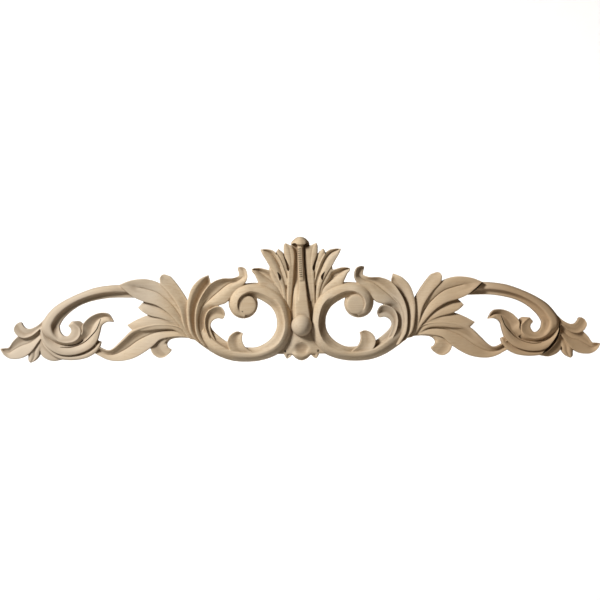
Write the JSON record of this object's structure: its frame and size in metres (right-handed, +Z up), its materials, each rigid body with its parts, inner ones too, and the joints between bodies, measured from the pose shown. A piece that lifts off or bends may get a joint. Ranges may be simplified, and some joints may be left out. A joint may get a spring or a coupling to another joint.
{
  "type": "carved wood onlay",
  "caption": "Long pierced wood carving, a mirrored crest of C-scrolls and acanthus leaves about a husk and boss, with a flat back for fixing to furniture or panelling.",
  "frame": {"origin": "on the flat back, on the line of symmetry, behind the centre of the boss", "axes": "+X along the length, +Z up towards the cap, +Y out of the flat back, so the carving faces -Y"},
  "size_m": [0.6, 0.022, 0.1247],
  "materials": {
    "bare_wood": "bare pale hardwood, sanded, matt"
  },
  "bodies": {
    "root": {"carved_onlay": "bare_wood"}
  },
  "joints": []
}
